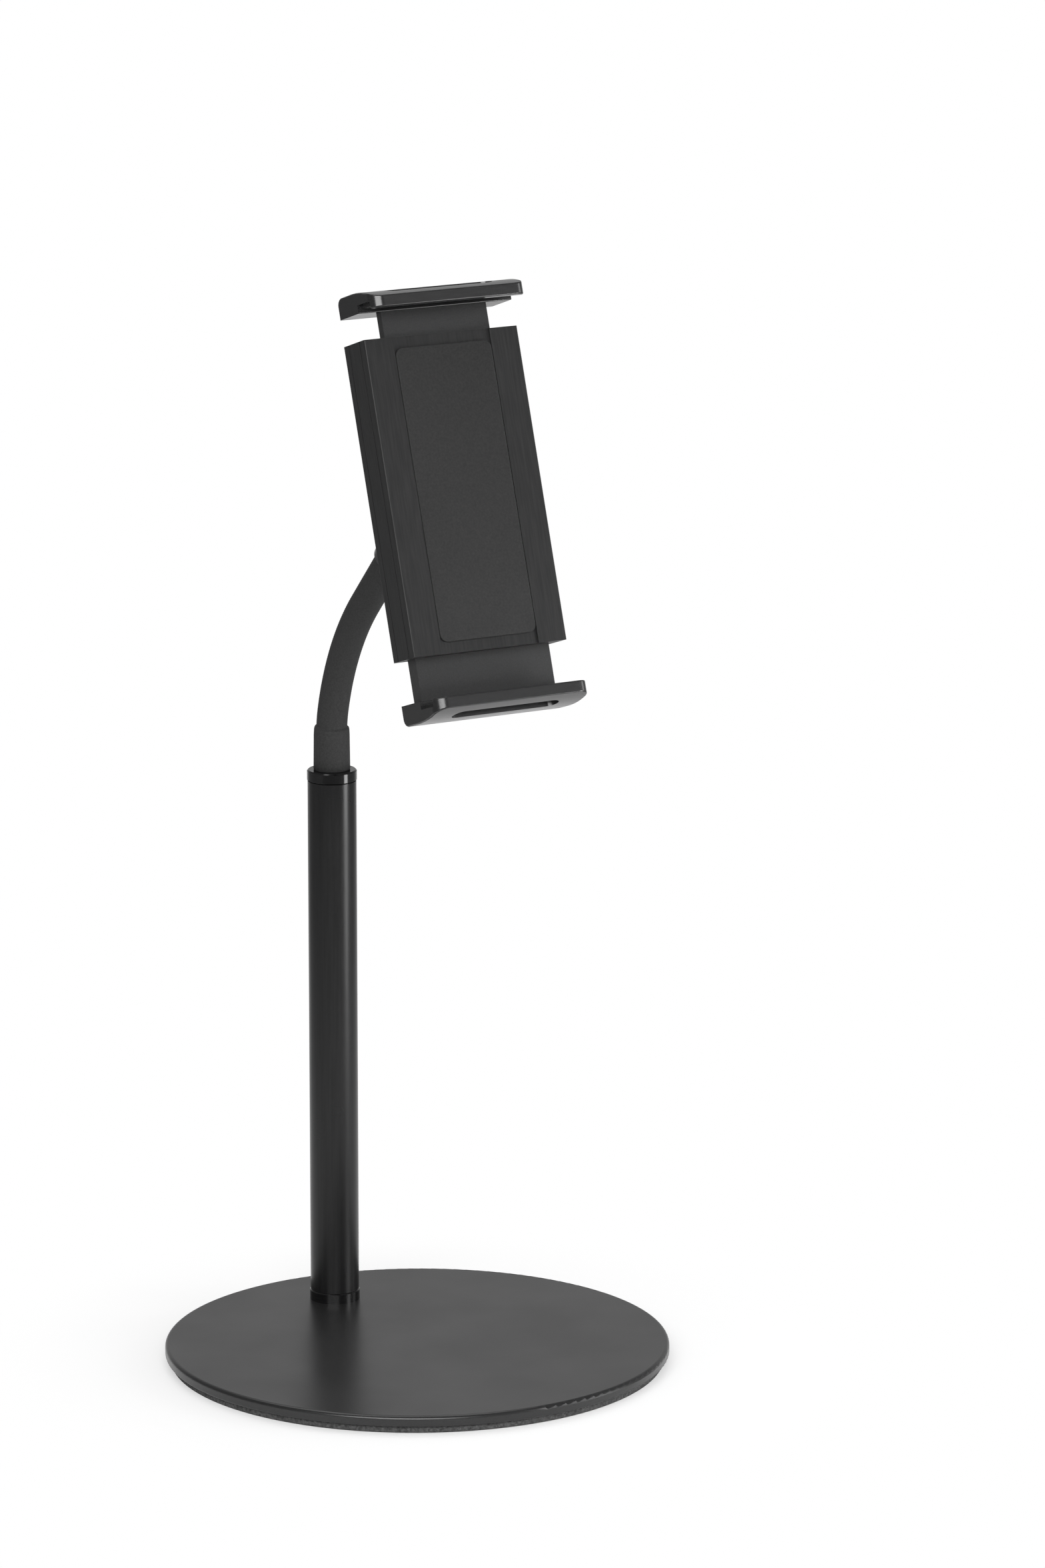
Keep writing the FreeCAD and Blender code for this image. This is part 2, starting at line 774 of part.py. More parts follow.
# Guides close the ends of the housing and carry the arms
upper_arm_front = bay_front + size.upper_arm_inset
upper_arm_back = upper_arm_front + size.upper_arm_thickness
lower_arm_back = bay_back - size.lower_arm_inset
lower_arm_front = lower_arm_back - size.lower_arm_thickness


def guide(label, foot, arm_half, arm_front, arm_back):
    body = new_body(label, ON_CLAMP)
    half = bay_half - size.guide_clearance
    block = rectangle(-half, half, bay_front + size.guide_clearance, bay_back - size.guide_clearance)
    slot = rectangle(
        -arm_half - size.slide_gap, arm_half + size.slide_gap,
        arm_front - size.slide_gap, arm_back + size.slide_gap,
    )
    pad(body, outline_sketch(body, "XY_Plane", block, slot, lift=foot), size.guide_length)
    return body


upper_guide = guide(
    "upper_guide", half_length - size.guide_length, size.upper_arm_width / 2, upper_arm_front, upper_arm_back
)
lower_guide = guide("lower_guide", -half_length, size.lower_arm_width / 2, lower_arm_front, lower_arm_back)

# Arms: forked plates whose shoulders stop against the guides; the fork runs round the spring and its pin
jaw_screw_half = size.jaw_screw_spacing / 2
tenon_middle = size.tenon_length / 2


def arm(label, side, width, shoulder, thickness, back, opening_gap, tail):
    body = new_body(label, ON_CLAMP)
    stop = half_length - size.guide_length - size.stop_travel
    tip = half_length + opening_gap + size.tenon_length
    fork_half = size.fork_width / 2
    neck_half = size.spring_head_diameter / 4 + size.spring_clearance
    head_half = size.spring_head_diameter / 2 + size.spring_clearance
    neck_end = size.fork_end + size.spring_neck_length
    head_end = neck_end + size.spring_head_length + size.spring_clearance * 2
    half_outline = [
        (fork_half, -tail),
        (shoulder / 2, -tail),
        (shoulder / 2, stop),
        (width / 2, stop),
        (width / 2, tip),
    ]
    half_slot = [(neck_half, size.fork_end), (fork_half, size.fork_end)]
    left_outline = [(-x, z) for x, z in reversed(half_outline)]
    left_slot = [(-x, z) for x, z in reversed(half_slot)]
    head_slot = [
        (-neck_half, neck_end),
        (-head_half, neck_end),
        (-head_half, head_end),
        (head_half, head_end),
        (head_half, neck_end),
        (neck_half, neck_end),
    ]
    outline = half_outline + left_outline + left_slot + head_slot + half_slot
    turned = [(x, side * z) for x, z in outline]
    pad(body, outline_sketch(body, "XZ_Plane", turned, lift=-back), thickness)
    place = side * (half_length + opening_gap + tenon_middle)
    spots = [(-jaw_screw_half, place, screw_hole), (jaw_screw_half, place, screw_hole)]
    pocket(body, circle_sketch(body, "XZ_Plane", *spots, lift=-back), thickness, Reversed=True)
    return body


upper_arm = arm(
    "upper_arm", 1, size.upper_arm_width, size.upper_arm_shoulder, size.upper_arm_thickness, upper_arm_back,
    size.upper_open, size.upper_arm_tail,
)
lower_arm = arm(
    "lower_arm", -1, size.lower_arm_width, size.lower_arm_shoulder, size.lower_arm_thickness, lower_arm_back,
    size.lower_open, size.lower_arm_tail,
)

# Jaws: extruded S-shaped sections with a lined recess behind the lip and a long slot through the floor
jaw_back = clamp_back - size.jaw_back_inset
recess_back = jaw_back - size.jaw_root_depth
crest = jaw_back - size.jaw_crest_depth
lip_back = pad_face - size.grip_gap
lip_front = lip_back - size.lip_thickness
slot_middle = (recess_back + lip_back) / 2
slot_half = size.jaw_slot_width / 2
slot_reach = size.jaw_slot_length / 2 - slot_half


def cut_slot(body, floor, length, side, margin):
    half = slot_half + margin
    # The first cut is the straight run, the second its two round ends
    run = rectangle(-slot_reach, slot_reach, slot_middle - half, slot_middle + half)
    ends = [(-slot_reach, slot_middle, half), (slot_reach, slot_middle, half)]
    upwards = side > 0
    pocket(body, outline_sketch(body, "XY_Plane", run, lift=side * floor), length, Reversed=upwards)
    pocket(body, circle_sketch(body, "XY_Plane", *ends, lift=side * floor), length, Reversed=upwards)


def jaw(label, side, opening_gap, arm_half, arm_front, arm_back):
    body = new_body(label, ON_CLAMP)
    inner = half_length + opening_gap
    outer = inner + size.jaw_thickness
    section = [
        (jaw_back, inner),
        (jaw_back, outer),
        (crest, outer),
        (lip_front, inner + size.lip_outer),
        (lip_front, inner + size.lip_inner),
        (lip_back, inner + size.lip_inner),
        (lip_back, inner + size.jaw_recess),
        (recess_back, inner + size.jaw_recess),
        (recess_back, inner),
    ]
    turned = [(y, side * z) for y, z in section]
    pad(body, outline_sketch(body, "YZ_Plane", turned), size.jaw_width, SideType="Symmetric")
    fillet(body, size.jaw_back_corner, lies_on(y=jaw_back, z=side * outer))
    fillet(body, size.jaw_crest_radius, lies_on(y=crest, z=side * outer))
    jaw_half = size.jaw_width / 2
    left_lip = lies_on(x=-jaw_half, y=lip_front)
    right_lip = lies_on(x=jaw_half, y=lip_front)
    fillet(body, size.lip_corner, lambda edge: left_lip(edge) or right_lip(edge))
    front = lip_front.value
    fillet(
        body, size.lip_edge,
        lambda edge: lies_on(y=front)(edge) and edge.BoundBox.XLength > size.lip_corner.value,
    )
    lip_foot = lies_on(y=lip_back, z=side * (inner + size.lip_inner))
    root_foot = lies_on(y=recess_back, z=side * inner)
    fillet(body, size.jaw_inner_edge, lambda edge: lip_foot(edge) or root_foot(edge))
    cut_slot(body, inner, size.jaw_thickness, side, 0)
    mortise = rectangle(
        -arm_half - size.tenon_clearance, arm_half + size.tenon_clearance,
        arm_front - size.tenon_clearance, arm_back + size.tenon_clearance,
    )
    pocket(
        body, outline_sketch(body, "XY_Plane", mortise, lift=side * inner),
        size.tenon_length + size.tenon_clearance, Reversed=side > 0,
    )
    place = side * (inner + tenon_middle)
    spots = (-jaw_screw_half, jaw_screw_half)
    head_hole = size.small_screw_head / 2 + size.thread_clearance
    heads = circle_sketch(body, "XZ_Plane", *[(x, place, head_hole) for x in spots], lift=-jaw_back)
    pocket(body, heads, size.small_head_height, Reversed=True)
    shanks = circle_sketch(body, "XZ_Plane", *[(x, place, screw_hole) for x in spots], lift=-jaw_back)
    pocket(body, shanks, jaw_back - arm_back, Reversed=True)
    return body


def liner(label, side, opening_gap):
    body = new_body(label, ON_CLAMP)
    floor = half_length + opening_gap + size.jaw_recess
    half = size.jaw_width / 2 - size.liner_end_inset
    strip = rectangle(-half, half, lip_back, recess_back)
    face = floor - size.liner_thickness
    strip_sketch = outline_sketch(body, "XY_Plane", strip, lift=side * face)
    pad(body, strip_sketch, size.liner_thickness, Reversed=side < 0)
    cut_slot(body, face, size.liner_thickness, side, size.liner_slot_margin)
    return body


def jaw_screws(label, side, opening_gap, arm_front):
    place = side * (half_length + opening_gap + tenon_middle)
    shank = jaw_back - size.small_head_height - arm_front - size.joint_gap
    return pin_group(
        label, [small_screw(label, x, place, jaw_back, shank) for x in (-jaw_screw_half, jaw_screw_half)]
    )


upper_jaw = jaw("upper_jaw", 1, size.upper_open, size.upper_arm_width / 2, upper_arm_front, upper_arm_back)
lower_jaw = jaw("lower_jaw", -1, size.lower_open, size.lower_arm_width / 2, lower_arm_front, lower_arm_back)
upper_liner = liner("upper_liner", 1, size.upper_open)
lower_liner = liner("lower_liner", -1, size.lower_open)
upper_jaw_screws = jaw_screws("upper_jaw_screws", 1, size.upper_open, upper_arm_front)
lower_jaw_screws = jaw_screws("lower_jaw_screws", -1, size.lower_open, lower_arm_front)

# Extension springs: each hooks round a rivet of the housing, and its headed end sits in the fork of an arm
upper_spring_place = (upper_arm_front + upper_arm_back) / 2
lower_spring_place = (lower_arm_front + lower_arm_back) / 2


def spring(label, side, depth, diameter):
    anchor = -side * size.spring_anchor
    hook_y = ball_y + depth * cosine(size.lean) + anchor * sine(size.lean)
    hook_z = ball_z - depth * sine(size.lean) + anchor * cosine(size.lean)
    body = new_body(label, (hook_y, hook_z, -1, size.lean))
    outer = diameter / 2
    inner = outer - size.spring_wire
    hook = size.spring_pin_diameter / 2 + size.spring_wire
    neck_start = size.spring_anchor + size.fork_end - size.spring_clearance
    head_start = neck_start + size.spring_neck_length + size.spring_clearance * 2
    head_end = head_start + size.spring_head_length
    neck = size.spring_head_diameter / 4
    profile = [
        (inner, hook - size.spring_wire / 2),
        (outer, hook - size.spring_wire / 2),
        (outer, neck_start),
        (neck, neck_start),
        (neck, head_start),
        (size.spring_head_diameter / 2, head_start),
        (size.spring_head_diameter / 2, head_end),
        (0, head_end),
        (0, neck_start - size.spring_wire),
        (inner, neck_start - size.spring_wire),
    ]
    turned = [(y, side * z) for y, z in profile]
    revolve(body, outline_sketch(body, "YZ_Plane", turned))
    wire_half = size.spring_wire / 2
    loop = rectangle(-wire_half, wire_half, side * (hook - wire_half), side * (hook + wire_half))
    revolve(body, outline_sketch(body, "YZ_Plane", loop), "H_Axis")
    return body


upper_spring = spring("upper_spring", 1, upper_spring_place, size.upper_spring_diameter)
lower_spring = spring("lower_spring", -1, lower_spring_place, size.lower_spring_diameter)

rivet_radius = size.spring_rivet_diameter / 2
pin_radius = size.spring_pin_diameter / 2
upper_pin_steps = [
    (rivet_radius, bay_front, bay_front - channel_floor),
    (pin_radius, upper_arm_back - size.joint_gap, upper_arm_back - size.joint_gap - bay_front),
]
upper_spring_pin = pin_group(
    "upper_spring_pin", [turned_pin("upper_rivet", 0, -size.spring_anchor, upper_pin_steps)]
)
lower_pin_steps = [
    (rivet_radius, clamp_back, size.rear_wall),
    (pin_radius, bay_back, bay_back - lower_arm_front - size.joint_gap),
]
lower_spring_pin = pin_group(
    "lower_spring_pin", [turned_pin("lower_rivet", 0, size.spring_anchor, lower_pin_steps)]
)

PIECES = [
    base_plate, base_pad, pole_screw, foot_plug, pole_tube, top_plug, neck_ferrule, neck_coil, neck_sheath,
    ball_stud, ball_seat, ring_nut, ball_socket, socket_screws, clamp_housing, front_pad, upper_guide,
    lower_guide, upper_arm, lower_arm, upper_jaw, lower_jaw, upper_liner, lower_liner, upper_jaw_screws,
    lower_jaw_screws, upper_spring, lower_spring, upper_spring_pin, lower_spring_pin,
]

doc.recompute()
for thing in doc.Objects:
    if "Invalid" in thing.State or "Error" in thing.State:
        raise RuntimeError(f"{thing.Name} failed: {thing.State}")
for piece in PIECES:
    if piece.Shape.isNull() or not piece.Shape.isValid():
        raise RuntimeError(f"{piece.Label} has no valid shape")

os.makedirs("parts", exist_ok=True)
for piece in PIECES:
    piece.Shape.exportStep(f"parts/{piece.Label}.step")
    box = piece.Shape.BoundBox
    print(f"{piece.Label}: {len(piece.Shape.Solids)} solid, {piece.Shape.Volume:.1f} mm3, top {box.ZMax:.1f}")
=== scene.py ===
import math

import bmesh
import bpy
from mathutils import Matrix, Vector


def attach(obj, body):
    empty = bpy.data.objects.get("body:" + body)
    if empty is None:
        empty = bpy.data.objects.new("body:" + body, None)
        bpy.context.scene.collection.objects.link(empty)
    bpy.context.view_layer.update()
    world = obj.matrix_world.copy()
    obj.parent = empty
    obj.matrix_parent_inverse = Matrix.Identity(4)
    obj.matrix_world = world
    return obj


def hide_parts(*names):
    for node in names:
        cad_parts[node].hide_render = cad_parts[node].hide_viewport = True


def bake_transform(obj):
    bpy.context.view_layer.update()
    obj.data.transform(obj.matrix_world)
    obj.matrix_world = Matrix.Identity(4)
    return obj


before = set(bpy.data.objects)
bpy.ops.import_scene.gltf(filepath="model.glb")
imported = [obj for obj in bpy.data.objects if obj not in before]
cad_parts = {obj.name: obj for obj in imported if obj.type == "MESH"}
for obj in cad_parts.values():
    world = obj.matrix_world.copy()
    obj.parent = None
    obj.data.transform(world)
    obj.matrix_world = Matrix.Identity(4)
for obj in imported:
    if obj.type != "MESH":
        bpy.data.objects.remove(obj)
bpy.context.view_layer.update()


# Foam pad: a disc of closed-cell foam, die-cut and glued under the steel plate so that the stand
# neither slips nor scratches. It is a little smaller than the plate, its cut edge is slightly
# pressed, and a round hole leaves room for the head of the pole's screw.
FOAM_RADIUS = 0.093
FOAM_HEIGHT = 0.003
FOAM_EDGE = 0.0008
FOAM_PORES = 1300.0
POLE_Y = 0.064
SCREW_ACCESS_RADIUS = 0.0075
NOISE_LOW = 0.3
NOISE_HIGH = 0.7
GRAIN_DETAIL = 4.0
PATCH_SCALE = 28.0
PATCH_DETAIL = 2.0


def start_fresh():
    if bpy.context.mode != "OBJECT":
        bpy.ops.object.mode_set(mode="OBJECT")
    bpy.ops.object.select_all(action="DESELECT")


def freeze():
    bpy.ops.object.transform_apply(location=True, rotation=True, scale=True)


def edit_edges(test):
    """Selects the edges whose two ends pass the test."""
    bpy.ops.object.mode_set(mode="EDIT")
    bpy.ops.mesh.select_mode(type="EDGE")
    bpy.ops.mesh.select_all(action="DESELECT")
    mesh = bmesh.from_edit_mesh(bpy.context.active_object.data)
    for edge in mesh.edges:
        edge.select_set(test(edge.verts[0].co, edge.verts[1].co))
    bmesh.update_edit_mesh(bpy.context.active_object.data)


def edit_faces(test):
    """Selects the faces whose middle and normal pass the test."""
    bpy.ops.object.mode_set(mode="EDIT")
    bpy.ops.mesh.select_mode(type="FACE")
    bpy.ops.mesh.select_all(action="DESELECT")
    mesh = bmesh.from_edit_mesh(bpy.context.active_object.data)
    for face in mesh.faces:
        face.select_set(test(face.calc_center_median(), face.normal))
    bmesh.update_edit_mesh(bpy.context.active_object.data)


def apply_modifier(piece, modifier):
    start_fresh()
    piece.select_set(True)
    bpy.context.view_layer.objects.active = piece
    bpy.ops.object.modifier_apply(modifier=modifier.name)


def cut_away(piece, cutter):
    cut = piece.modifiers.new("cut", "BOOLEAN")
    cut.operation = "DIFFERENCE"
    cut.solver = "EXACT"
    cut.object = cutter
    apply_modifier(piece, cut)
    bpy.data.objects.remove(cutter)


def settle(name, angle=35):
    """Names the active piece, applies its place and smooths it below the angle."""
    if bpy.context.mode != "OBJECT":
        bpy.ops.object.mode_set(mode="OBJECT")
    piece = bpy.context.active_object
    piece.name = name
    piece.data.name = name
    freeze()
    bpy.ops.object.shade_smooth_by_angle(angle=math.radians(angle))
    return piece


def grained(
    name, dark, light, grain, rough, relief, stretch=(1, 1, 1), lean=0.0, level=0.5, metal=0.0
):
    """A finish whose fine grain varies colour and relief, and broad patches its gloss."""
    material = bpy.data.materials.new(name)
    material.use_nodes = True
    nodes = material.node_tree.nodes
    link = material.node_tree.links.new
    shader = nodes["Principled BSDF"]
    shader.inputs["Metallic"].default_value = metal
    shader.inputs["Specular IOR Level"].default_value = level
    place = nodes.new("ShaderNodeTexCoord").outputs["Object"]
    if lean:
        turn = nodes.new("ShaderNodeVectorRotate")
        turn.rotation_type = "X_AXIS"
        turn.inputs["Angle"].default_value = lean
        link(place, turn.inputs["Vector"])
        place = turn.outputs["Vector"]
    pull = nodes.new("ShaderNodeMapping")
    pull.inputs["Scale"].default_value = stretch
    link(place, pull.inputs["Vector"])
    fine = nodes.new("ShaderNodeTexNoise")
    fine.inputs["Scale"].default_value = grain
    fine.inputs["Detail"].default_value = GRAIN_DETAIL
    link(pull.outputs["Vector"], fine.inputs["Vector"])
    shade = nodes.new("ShaderNodeValToRGB")
    shade.color_ramp.elements[0].position = NOISE_LOW
    shade.color_ramp.elements[0].color = (*dark, 1)
    shade.color_ramp.elements[1].position = NOISE_HIGH
    shade.color_ramp.elements[1].color = (*light, 1)
    link(fine.outputs["Fac"], shade.inputs["Fac"])
    link(shade.outputs["Color"], shader.inputs["Base Color"])
    broad = nodes.new("ShaderNodeTexNoise")
    broad.inputs["Scale"].default_value = PATCH_SCALE
    broad.inputs["Detail"].default_value = PATCH_DETAIL
    link(place, broad.inputs["Vector"])
    gloss = nodes.new("ShaderNodeMapRange")
    gloss.inputs["From Min"].default_value = NOISE_LOW
    gloss.inputs["From Max"].default_value = NOISE_HIGH
    gloss.inputs["To Min"].default_value = rough[0]
    gloss.inputs["To Max"].default_value = rough[1]
    link(broad.outputs["Fac"], gloss.inputs["Value"])
    link(gloss.outputs["Result"], shader.inputs["Roughness"])
    bump = nodes.new("ShaderNodeBump")
    bump.name = "relief"
    bump.inputs["Strength"].default_value = 1.0
    bump.inputs["Distance"].default_value = relief
    link(fine.outputs["Fac"], bump.inputs["Height"])
    link(bump.outputs["Normal"], shader.inputs["Normal"])
    return material


def wear(node, material):
    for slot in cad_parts[node].material_slots:
        slot.material = material


start_fresh()
bpy.ops.mesh.primitive_cylinder_add(
    vertices=160, radius=FOAM_RADIUS, depth=FOAM_HEIGHT, location=(0, 0, FOAM_HEIGHT / 2)
)
freeze()
base_foam = bpy.context.active_object
edit_edges(lambda one, other: abs(one.z - other.z) < FOAM_HEIGHT / 2)
bpy.ops.mesh.bevel(offset=FOAM_EDGE, segments=4, affect="EDGES")
start_fresh()
bpy.ops.mesh.primitive_cylinder_add(
    vertices=48, radius=SCREW_ACCESS_RADIUS, depth=FOAM_HEIGHT * 3,
    location=(0, POLE_Y, FOAM_HEIGHT / 2),
)
cut_away(base_foam, bpy.context.active_object)
settle("base_foam")
foam = grained(
    "black_foam", (0.03, 0.03, 0.03), (0.09, 0.09, 0.09), 900, (0.85, 0.95), 0.0002, level=0.2
)
foam_nodes = foam.node_tree.nodes
foam_link = foam.node_tree.links.new
pores = foam_nodes.new("ShaderNodeTexVoronoi")
pores.inputs["Scale"].default_value = FOAM_PORES
foam_link(foam_nodes["Mapping"].outputs["Vector"], pores.inputs["Vector"])
foam_link(pores.outputs["Distance"], foam_nodes["relief"].inputs["Height"])
base_foam.data.materials.append(foam)
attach(base_foam, "stand")
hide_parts("base_pad")


# Base plate: a heavy steel disc, laser-cut, its edges rounded over, with a satin black powder coat
# whose grain is like fine sand. It lies on the foam pad and carries the pole near its rear edge.
powder_coat = grained(
    "powder_coat", (0.008, 0.008, 0.0082), (0.013, 0.013, 0.0133), 1400, (0.28, 0.34), 0.00001
)
wear("base_plate", powder_coat)


# Pole screw: a countersunk steel screw with a hexagon socket, blackened. It comes up through the
# plate from below and pulls the plug of the pole down on it.
SCREW_HEAD_RADIUS = 0.0058
SCREW_SHANK_RADIUS = 0.003
SCREW_HEAD_HEIGHT = 0.0028
SCREW_TOP = 0.020
SCREW_TIP_HEIGHT = 0.0006
SCREW_TIP_SHARE = 0.8
HEXAGON_RADIUS = 0.0023
HEXAGON_DEPTH = 0.002
start_fresh()
bpy.ops.mesh.primitive_circle_add(
    vertices=40, radius=SCREW_HEAD_RADIUS, fill_type="NGON", location=(0, POLE_Y, FOAM_HEIGHT)
)
freeze()
pole_bolt = bpy.context.active_object
bpy.ops.object.mode_set(mode="EDIT")
bpy.ops.mesh.select_all(action="SELECT")
for height, share in (
    (SCREW_HEAD_HEIGHT, SCREW_SHANK_RADIUS / SCREW_HEAD_RADIUS),
    (SCREW_TOP - FOAM_HEIGHT - SCREW_HEAD_HEIGHT - SCREW_TIP_HEIGHT, 1.0),
    (SCREW_TIP_HEIGHT, SCREW_TIP_SHARE),
):
    bpy.ops.mesh.extrude_region_move(TRANSFORM_OT_translate={"value": (0, 0, height)})
    bpy.ops.transform.resize(value=(share, share, 1), center_override=(0, POLE_Y, 0))
bpy.ops.mesh.select_all(action="SELECT")
bpy.ops.mesh.normals_make_consistent(inside=False)
start_fresh()
bpy.ops.mesh.primitive_cylinder_add(
    vertices=6, radius=HEXAGON_RADIUS, depth=2 * HEXAGON_DEPTH, location=(0, POLE_Y, FOAM_HEIGHT)
)
cut_away(pole_bolt, bpy.context.active_object)
settle("pole_bolt", 25)
black_steel = grained(
    "black_steel", (0.05, 0.05, 0.052), (0.10, 0.10, 0.104), 600, (0.32, 0.45), 0.00001, metal=0.9
)
pole_bolt.data.materials.append(black_steel)
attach(pole_bolt, "stand")
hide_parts("pole_screw")


# Pole: a drawn steel tube with a satin black coat, between two turned plugs. Only the rings of the
# plugs show, at the foot and at the head, polished and coated gloss black.
pole_coat = grained(
    "pole_coat", (0.004, 0.004, 0.0042), (0.008, 0.008, 0.0083), 1100, (0.26, 0.32), 0.000006,
    stretch=(1, 1, 0.03), level=0.34,
)
wear("pole_tube", pole_coat)
ring_gloss = grained(
    "ring_gloss", (0.003, 0.003, 0.0032), (0.006, 0.006, 0.0062), 2600, (0.12, 0.18), 0.000004,
    stretch=(0.05, 0.05, 1), level=0.45,
)
wear("foot_plug", ring_gloss)
wear("top_plug", ring_gloss)


# Gooseneck core: steel wire wound close, turn on turn, that bends and stays. Its lower end sits in
# a turned ferrule whose stud screws into the pole, its upper end in the collar of the ball.
NECK_FOOT = 0.215
RISE = 0.0135
LOW_BEND_RADIUS = 0.040
LOW_BEND = math.radians(14)
HIGH_BEND_RADIUS = 0.098
HIGH_BEND = math.radians(30.5)
REACH = 0.0411
WIRE_RADIUS = 0.0008
CORE_RADIUS = 0.0037
CORE_FOOT = 0.0029
CORE_END_GAP = 0.001
bend_foot = Vector((0, POLE_Y, NECK_FOOT + RISE))
low_centre = bend_foot - Vector((0, LOW_BEND_RADIUS, 0))
low_way = Vector((0, math.cos(LOW_BEND), math.sin(LOW_BEND)))
low_end = low_centre + LOW_BEND_RADIUS * low_way
high_centre = low_end - HIGH_BEND_RADIUS * low_way
neck_turn = LOW_BEND + HIGH_BEND
neck_way = Vector((0, -math.sin(neck_turn), math.cos(neck_turn)))
start_fresh()
bpy.ops.mesh.primitive_torus_add(
    major_segments=24, minor_segments=6, major_radius=CORE_RADIUS, minor_radius=WIRE_RADIUS,
    location=(0, POLE_Y, NECK_FOOT + CORE_FOOT),
)
freeze()
bpy.ops.object.mode_set(mode="EDIT")
bpy.ops.mesh.select_all(action="SELECT")
pitch = 2 * WIRE_RADIUS
straight_run = RISE - CORE_FOOT
straight_turns = round(straight_run / pitch)
for turn in range(straight_turns):
    lift = straight_run / straight_turns
    bpy.ops.mesh.duplicate_move(TRANSFORM_OT_translate={"value": (0, 0, lift)})
for radius, angle, centre in (
    (LOW_BEND_RADIUS, LOW_BEND, low_centre), (HIGH_BEND_RADIUS, HIGH_BEND, high_centre)
):
    turns = round(radius * angle / pitch)
    bpy.ops.mesh.spin(steps=turns, dupli=True, angle=-angle, center=centre, axis=(1, 0, 0))
last_run = REACH - CORE_END_GAP
last_turns = round(last_run / pitch)
for turn in range(last_turns):
    step = neck_way * last_run / last_turns
    bpy.ops.mesh.duplicate_move(TRANSFORM_OT_translate={"value": step})
neck_core = settle("neck_core", 60)
wound_steel = grained(
    "wound_steel", (0.36, 0.36, 0.37), (0.50, 0.50, 0.51), 900, (0.28, 0.38), 0.00001, metal=1.0
)
neck_core.data.materials.append(wound_steel)
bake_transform(neck_core)
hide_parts("neck_coil")
turned_steel = grained(
    "turned_steel", (0.34, 0.34, 0.35), (0.48, 0.48, 0.49), 2400, (0.25, 0.35), 0.000008,
    stretch=(0.05, 0.05, 1), metal=1.0,
)
wear("neck_ferrule", turned_steel)


# Neck sleeve: a hose of soft black rubber, moulded and pushed over the core, with a thicker cuff
# over the ferrule. Its upper end goes into the collar of the ball.
SLEEVE_FOOT_RADIUS = 0.00695
SLEEVE_FOOT_EDGE = 0.0003
CUFF_RADIUS = 0.0067
CUFF_TOP_RADIUS = CUFF_RADIUS + 0.0001
HOSE_RADIUS = 0.00585
HOSE_WALL = 0.0010
HOSE_END_STEPS = 12
# From the cuff to the plain hose: degrees along the low bend, and the radius reached there
CUFF_STEPS = (
    (2.7, CUFF_RADIUS), (0.8, 0.00662), (0.6, 0.00645), (0.4, 0.00615), (0.3, HOSE_RADIUS),
    (0.6, HOSE_RADIUS),
)
ring_radius = SLEEVE_FOOT_RADIUS - SLEEVE_FOOT_EDGE
start_fresh()
bpy.ops.mesh.primitive_circle_add(vertices=48, radius=ring_radius, location=(0, POLE_Y, NECK_FOOT))
freeze()
bpy.ops.object.mode_set(mode="EDIT")
bpy.ops.mesh.select_all(action="SELECT")
for height, radius in (
    (SLEEVE_FOOT_EDGE, SLEEVE_FOOT_RADIUS), (RISE - SLEEVE_FOOT_EDGE, CUFF_TOP_RADIUS)
):
    bpy.ops.mesh.extrude_region_move(TRANSFORM_OT_translate={"value": (0, 0, height)})
    share = radius / ring_radius
    bpy.ops.transform.resize(value=(share, share, 1), center_override=(0, POLE_Y, 0))
    ring_radius = radius
turned = 0.0
for step, radius in CUFF_STEPS:
    bpy.ops.mesh.spin(steps=1, angle=-math.radians(step), center=low_centre, axis=(1, 0, 0))
    turned += math.radians(step)
    ring_spot = low_centre + LOW_BEND_RADIUS * Vector((0, math.cos(turned), math.sin(turned)))
    share = radius / ring_radius
    bpy.ops.transform.resize(value=(share, share, share), center_override=ring_spot)
    ring_radius = radius
bpy.ops.mesh.spin(steps=8, angle=turned - LOW_BEND, center=low_centre, axis=(1, 0, 0))
bpy.ops.mesh.spin(steps=28, angle=-HIGH_BEND, center=high_centre, axis=(1, 0, 0))
for run in range(HOSE_END_STEPS):
    step = neck_way * REACH / HOSE_END_STEPS
    bpy.ops.mesh.extrude_region_move(TRANSFORM_OT_translate={"value": step})
bpy.ops.mesh.select_all(action="SELECT")
bpy.ops.mesh.normals_make_consistent(inside=False)
neck_sleeve = settle("neck_sleeve", 60)
wall = neck_sleeve.modifiers.new("wall", "SOLIDIFY")
wall.thickness = HOSE_WALL
wall.offset = -1.0
apply_modifier(neck_sleeve, wall)
settle("neck_sleeve", 60)
neck_rubber = grained(
    "neck_rubber", (0.024, 0.024, 0.024), (0.034, 0.034, 0.034), 1600, (0.68, 0.78), 0.00003,
    level=0.15,
)
neck_sleeve.data.materials.append(neck_rubber)
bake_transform(neck_sleeve)
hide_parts("neck_sheath")


# Ball joint: a blackened steel ball on a stud, held between a cup and a ribbed nut with an acetal
# friction ring between them. The nut is screwed up by hand, and the cup's flange sits on the
# housing.
blackened_ball = grained(
    "blackened_ball", (0.018, 0.018, 0.019), (0.030, 0.030, 0.031), 1200, (0.24, 0.32), 0.000004,
    level=0.6,
)
wear("ball_stud", blackened_ball)
acetal = grained("acetal", (0.05, 0.05, 0.05), (0.07, 0.07, 0.07), 900, (0.42, 0.5), 0.00001)
wear("ball_seat", acetal)
moulded_black = grained(
    "moulded_black", (0.017, 0.017, 0.0174), (0.025, 0.025, 0.0254), 1900, (0.42, 0.52), 0.00003,
    level=0.45,
)
wear("ring_nut", moulded_black)
wear("ball_socket", moulded_black)


